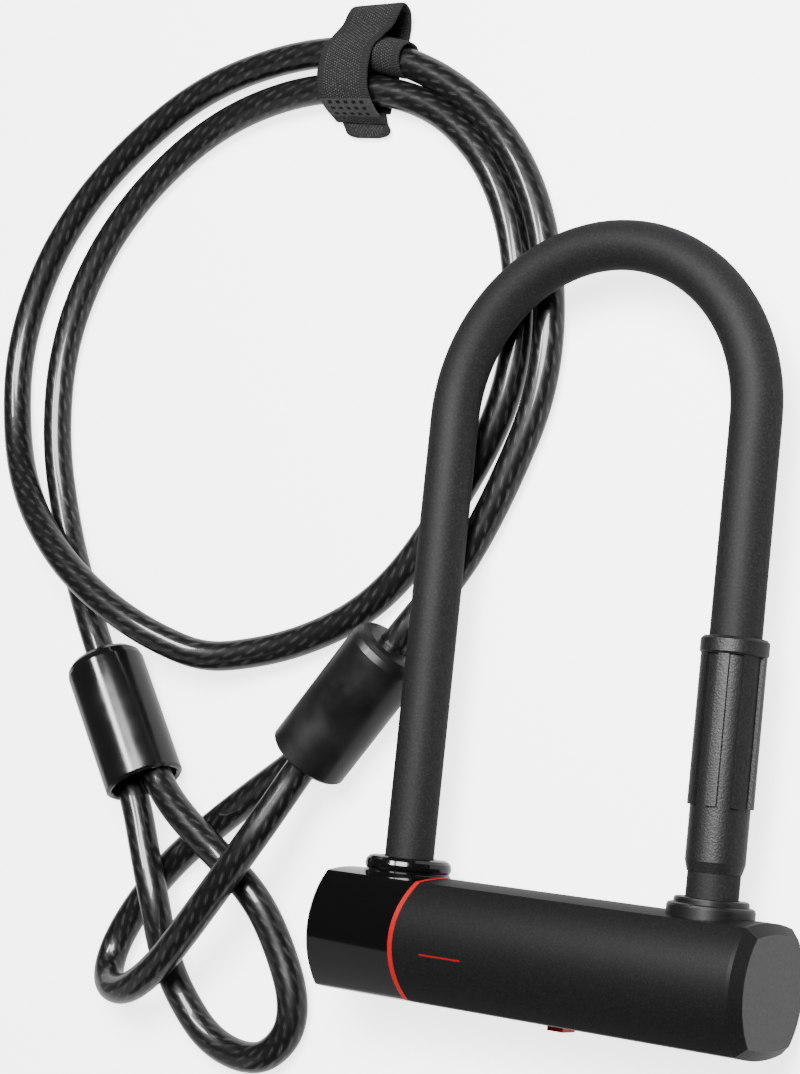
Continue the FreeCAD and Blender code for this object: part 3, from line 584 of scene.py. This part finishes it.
def dress_frame():
    """Every CAD node's finish."""
    vinyl, _, _ = grained_plastic("vinyl", (0.0062, 0.0062, 0.0065), roughness=0.6,
                                  grain_per_m=1400, depth_mm=0.04, sheen=0.1)
    sleeve, _, _ = grained_plastic("sleeve", (0.0045, 0.0045, 0.0048), roughness=0.42,
                                   grain_per_m=1500, depth_mm=0.11, sheen=0.22)
    collar, _, _ = grained_plastic("collar", (0.0035, 0.0035, 0.0038), roughness=0.32,
                                   grain_per_m=1800, depth_mm=0.02, sheen=0.3)
    dress(["shackle_jacket"], vinyl)
    dress(["ribbed_leg_sleeve"], sleeve)
    dress(["crossbar_cover"], body_material())
    dress(["right_end_cap"], end_cap_material())
    dress(["right_collar"], collar)
    dress(["left_end_cap"],
          gloss_plastic("cap_gloss", (0.0012, 0.0012, 0.0014), roughness=0.08))
    dress(["left_collar"],
          gloss_plastic("collar_gloss", (0.0015, 0.0015, 0.0017), roughness=0.1))
    dress(["accent_ring", "keyhole_shutter"],
          gloss_plastic("red", RED, roughness=0.35, gloss=0.12, coat=0.05))
    dress(["ferrule_a"],
          gloss_plastic("ferrule_gloss", (0.0028, 0.0028, 0.003), roughness=0.18, gloss=0.5,
                        coat=0.0))
    dress(["ferrule_b"],
          gloss_plastic("ferrule_satin", (0.004, 0.004, 0.0043), roughness=0.34, coat=0.05))
    dress(STEEL_NODES,
          turned_metal("steel", (0.5, 0.51, 0.53), roughness=0.35, stretch=(1, 30, 30)))
    dress(BRASS_NODES,
          turned_metal("brass", (0.72, 0.52, 0.24), roughness=0.3, stretch=(30, 1, 30)))
    dress(ALUMINIUM_NODES,
          turned_metal("aluminium", (0.75, 0.76, 0.78), roughness=0.4, stretch=(20, 20, 1)))


# ---------------------------------------------------------------- strap
STRAP_THICK = 1.2
STRAP_EDGE_SHARE = 0.5
STATION_STEPS = 6
RIBBON_COLUMNS = 16

# Each station is the ribbon's middle (x, y, z), its half width (x, y) and which way its
# upper side faces, with lengths in millimetres.
STRAP_FRONT = [
    ((-131.0, 241.4, 8.8), (12.7, -0.5), (0.0, 1.0, -0.05)),
    ((-130.6, 241.0, 12.2), (12.8, -0.5), (0.0, 0.7, 0.75)),
    ((-131.4, 237.0, 13.9), (12.8, -1.1), (0.0, 0.0, 1.0)),
    ((-133.2, 233.0, 14.0), (12.8, -1.3), (0.0, -0.15, 1.0)),
    ((-137.2, 228.6, 14.8), (12.8, -1.1), (0.0, -0.1, 1.0)),
    ((-140.3, 224.0, 16.3), (12.8, -0.6), (0.0, 0.15, 1.0)),
    ((-141.2, 218.5, 16.9), (12.8, -0.5), (0.0, 0.05, 1.0)),
    ((-141.5, 212.5, 16.8), (12.8, -0.7), (0.0, -0.1, 1.0)),
    ((-141.3, 207.0, 15.9), (12.8, -1.0), (0.0, -0.4, 0.95)),
    ((-141.2, 203.0, 13.0), (12.8, -1.1), (0.0, -0.75, 0.7)),
    ((-141.3, 200.2, 9.0), (12.7, -1.3), (0.0, -0.9, 0.5)),
    ((-140.9, 198.2, 5.4), (12.6, -1.4), (0.0, -0.85, 0.55)),
    ((-140.2, 196.4, 2.9), (12.6, -1.5), (0.0, -0.7, 0.7)),
]
STRAP_BACK = [
    ((-131.0, 241.3, 9.4), (12.7, -0.5), (0.0, 1.0, 0.05)),
    ((-131.6, 240.4, 6.0), (12.7, -0.6), (0.0, 0.8, -0.6)),
    ((-132.6, 237.6, 3.4), (12.7, -0.9), (0.0, 0.5, -0.85)),
    ((-134.0, 233.4, 1.3), (12.7, -1.2), (0.0, 0.15, -1.0)),
    ((-135.4, 227.0, 0.7), (12.7, -1.4), (0.0, 0.0, -1.0)),
    ((-137.4, 218.0, 0.7), (12.7, -1.4), (0.0, 0.0, -1.0)),
    ((-139.0, 208.0, 0.7), (12.7, -1.5), (0.0, 0.0, -1.0)),
    ((-140.0, 201.0, 1.0), (12.6, -1.5), (0.0, -0.1, -1.0)),
]
STRAP_UNDER = [
    ((-127.2, 228.2, 5.0), (12.4, -3.2), (0.0, 1.0, -0.3)),
    ((-127.2, 228.4, 9.4), (12.4, -3.2), (0.0, 1.0, 0.3)),
    ((-127.4, 226.0, 13.2), (12.4, -3.2), (0.0, 0.6, 0.8)),
    ((-127.8, 221.6, 14.8), (12.4, -3.2), (0.0, 0.0, 1.0)),
    ((-128.0, 217.2, 13.2), (12.4, -3.2), (0.0, -0.65, 0.75)),
    ((-128.2, 215.0, 9.8), (12.4, -3.2), (0.0, -1.0, 0.2)),
    ((-128.2, 215.0, 6.0), (12.4, -3.2), (0.0, -1.0, -0.2)),
    ((-128.0, 217.2, 2.7), (12.4, -3.2), (0.0, -0.6, -0.8)),
    ((-127.8, 221.4, 1.4), (12.4, -3.2), (0.0, 0.0, -1.0)),
    ((-127.4, 225.8, 2.4), (12.4, -3.2), (0.0, 0.5, -0.85)),
]
STRAP_END = [
    ((-140.6, 201.0, 1.9), (11.8, -1.4), (0.0, 0.0, 1.0)),
    ((-138.9, 196.6, 2.2), (11.8, -1.5), (0.0, 0.0, 1.0)),
    ((-137.0, 193.9, 2.5), (11.7, -1.3), (0.0, 0.0, 1.0)),
    ((-136.5, 192.0, 2.5), (11.0, -1.0), (0.0, 0.0, 1.0)),
    ((-136.4, 190.7, 2.4), (9.2, -0.8), (0.0, 0.0, 1.0)),
    ((-136.4, 190.0, 2.3), (6.0, -0.5), (0.0, 0.0, 1.0)),
]


def eased(before, here, after, beyond, share):
    """A point between two stations on a smooth line through four of them."""
    square, cube = share * share, share ** 3
    return ((here * 2) + (after - before) * share
            + (before * 2 - here * 5 + after * 4 - beyond) * square
            + (here * 3 - before - after * 3 + beyond) * cube) / 2


def smoothed(stations):
    """A ribbon's stations with more rows eased in between them."""
    rows = [[Vector(place), Vector((*half, 0.0)), Vector(face)] for place, half, face in stations]
    last = len(rows) - 1
    smooth = []
    for index in range(last):
        four = [rows[max(0, min(last, index + step))] for step in (-1, 0, 1, 2)]
        for step in range(STATION_STEPS):
            share = step / STATION_STEPS
            smooth.append([eased(*(row[part] for row in four), share) for part in range(3)])
    return smooth + rows[-1:]


def ribbon(name, stations):
    """A woven band as a closed solid, with its map's U across it and V in millimetres along it."""
    smooth = smoothed(stations)
    mesh = bmesh.new()
    rings = []
    for middle, half, face in smooth:
        face = (face - half.normalized() * face.dot(half.normalized())).normalized()
        ring = []
        for side in (1, -1):
            for step in range(RIBBON_COLUMNS + 1):
                spot = -1 + 2 * step / RIBBON_COLUMNS
                share = STRAP_EDGE_SHARE if step in (0, RIBBON_COLUMNS) else 1.0
                ring.append(mesh.verts.new(
                    (middle + half * spot * side + face * (side * share * STRAP_THICK / 2)) * MM))
        rings.append(ring)
    around = [(step / RIBBON_COLUMNS, min(step + 1, RIBBON_COLUMNS) / RIBBON_COLUMNS)
              for step in range(RIBBON_COLUMNS + 1)] * 2
    skin(mesh, rings, around, distances([middle for middle, _, _ in smooth]))
    bmesh.ops.recalc_face_normals(mesh, faces=mesh.faces)
    return piece_from(name, mesh)


# The eyelets punched in the strap's front: millimetres along it, and columns in its width.
EYELETS_FROM = 45.4
EYELET_PITCH = 3.0
EYELET_ROWS = 3
EYELET_COLUMNS = 6.35
EYELETS_ACROSS = 5
EYELET_ROW_WINDOW = (0.26, 0.74, 0.05)
EYELET_COLUMN_WINDOW = (0.25, 0.75, 0.05)
# Painted shade in the eyelet holes.
EYELET_PAINTED_SHADE = (0.0006, 0.0006, 0.0006)
# The band round the eyelets is painted lighter as painted light: its colour and the softness of
# its ends.
EYELET_BAND_PAINTED_LIGHT = (0.03, 0.03, 0.0305)
PAINTED_LIGHT_BAND_EDGE = 0.05

# Weaves: yarns in the strap's width and knots per millimetre along it.
WEAVE = (22.0, 0.95)
HOOK_WEAVE = (30.0, 0.55)
WEAVE_STAGGER = 0.5
KNOT_WINDOW = (0.25, 0.75, 0.2)
YARN_FLECKS_PER_M = 1500
YARN_FLECK_RANGE = (0.15, 1.0, 0.38, 0.64)
YARN_DARK = (0.006, 0.006, 0.0062)
YARN_LIGHT = (0.075, 0.075, 0.076)
WEAVE_COLOUR = (0.02, 0.02, 0.02)
WEAVE_ROUGHNESS = 0.85
WEAVE_SHEEN = 0.1
WEAVE_RELIEF = 0.25 * MM
WEAVE_RELIEF_STRENGTH = 0.8
SELVEDGE_SHARE = 0.14
SELVEDGE_RIBS_PER_MM = 1.6
SELVEDGE_RIB_WINDOW = (0.3, 0.8, 0.15)
SELVEDGE_LIGHT = 0.22
WIDTH_SOFTNESS = 0.01


def eyelets(tree, across, along):
    """Rows of small square eyelets near the strap's lower end, with painted shade in the holes,
    and the band they lie in, painted lighter as painted light.
    """
    inside = maths(tree, "SUBTRACT", along, EYELETS_FROM)
    row = maths(tree, "DIVIDE", inside, EYELET_PITCH)
    column_shift = 0.5 - (EYELET_COLUMNS / 2) % 1
    column = maths(tree, "ADD", times(tree, across, EYELET_COLUMNS), column_shift)
    reach = EYELETS_ACROSS / 2 / EYELET_COLUMNS
    # The band that gets the painted light.
    painted_light_band = window(tree, inside, 0.0, EYELET_PITCH * EYELET_ROWS, PAINTED_LIGHT_BAND_EDGE)
    # The eyelet holes, which get painted shade.
    hole_shade = times(tree, repeats(tree, row, *EYELET_ROW_WINDOW),
                  repeats(tree, column, *EYELET_COLUMN_WINDOW),
                  window(tree, across, 0.5 - reach, 0.5 + reach, WIDTH_SOFTNESS), painted_light_band)
    return hole_shade, painted_light_band


def woven_material(name, weave=WEAVE, with_eyelets=False):
    """Woven black tape with ribbed selvedges and flecks of lighter yarn between them."""
    material, tree, shader = new_material(name, WEAVE_COLOUR, WEAVE_ROUGHNESS)
    set_inputs(shader, {"Specular IOR Level": WEAVE_SHEEN})
    across, along, _ = axes(tree, "UV")
    yarns_across, knots_per_mm = weave
    yarn = times(tree, across, yarns_across)
    stagger = times(tree, maths(tree, "FLOOR", yarn), WEAVE_STAGGER)
    knot = maths(tree, "ADD", times(tree, along, knots_per_mm), stagger)
    knots = times(tree, repeats(tree, yarn, *KNOT_WINDOW), repeats(tree, knot, *KNOT_WINDOW))
    flecks = spread(tree, noise(tree, YARN_FLECKS_PER_M), *YARN_FLECK_RANGE)
    middle = window(tree, across, SELVEDGE_SHARE, 1 - SELVEDGE_SHARE, WIDTH_SOFTNESS)
    ribs = repeats(tree, times(tree, along, SELVEDGE_RIBS_PER_MM), *SELVEDGE_RIB_WINDOW)
    selvedge = times(tree, maths(tree, "SUBTRACT", 1.0, middle), ribs)
    light = maths(tree, "ADD", times(tree, knots, flecks, middle),
                  times(tree, selvedge, SELVEDGE_LIGHT))
    colour = blend(tree, light, YARN_DARK, YARN_LIGHT)
    tree.links.new(colour, shader.inputs["Base Color"])
    if with_eyelets:
        hole_shade, painted_light_band = eyelets(tree, across, along)
        # Painted light on the band round the eyelets.
        paint_over(tree, shader, painted_light_band, EYELET_BAND_PAINTED_LIGHT)
        # Painted shade in the eyelet holes.
        paint_over(tree, shader, hole_shade, EYELET_PAINTED_SHADE)
    relief(tree, shader, maths(tree, "ADD", knots, selvedge), WEAVE_RELIEF,
           WEAVE_RELIEF_STRENGTH)
    return material


def add_strap():
    """The strap that ties the coil: front layer, under layer, back of the loop and hooked end."""
    front = woven_material("strap_weave", with_eyelets=True)
    plain = woven_material("strap_weave_plain")
    hooks = woven_material("strap_hooks", weave=HOOK_WEAVE)
    for name, stations, finish, cad_nodes, slot_name in (
            ("strap_front", STRAP_FRONT, front, ["strap_band"], "woven_strap"),
            ("strap_under", STRAP_UNDER + STRAP_UNDER[:1], plain, [], "woven_strap"),
            ("strap_loop_back", STRAP_BACK, plain, ["strap_pull_loop"], "woven_strap"),
            ("strap_hook_end", STRAP_END, hooks, ["strap_tail"], "hook_strap")):
        piece = ribbon(name, stations)
        piece.data.materials.append(finish)
        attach(piece, "cable")
        if cad_nodes:
            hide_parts(*cad_nodes)


add_camera()
add_studio()
add_cables()
add_strap()
dress_frame()
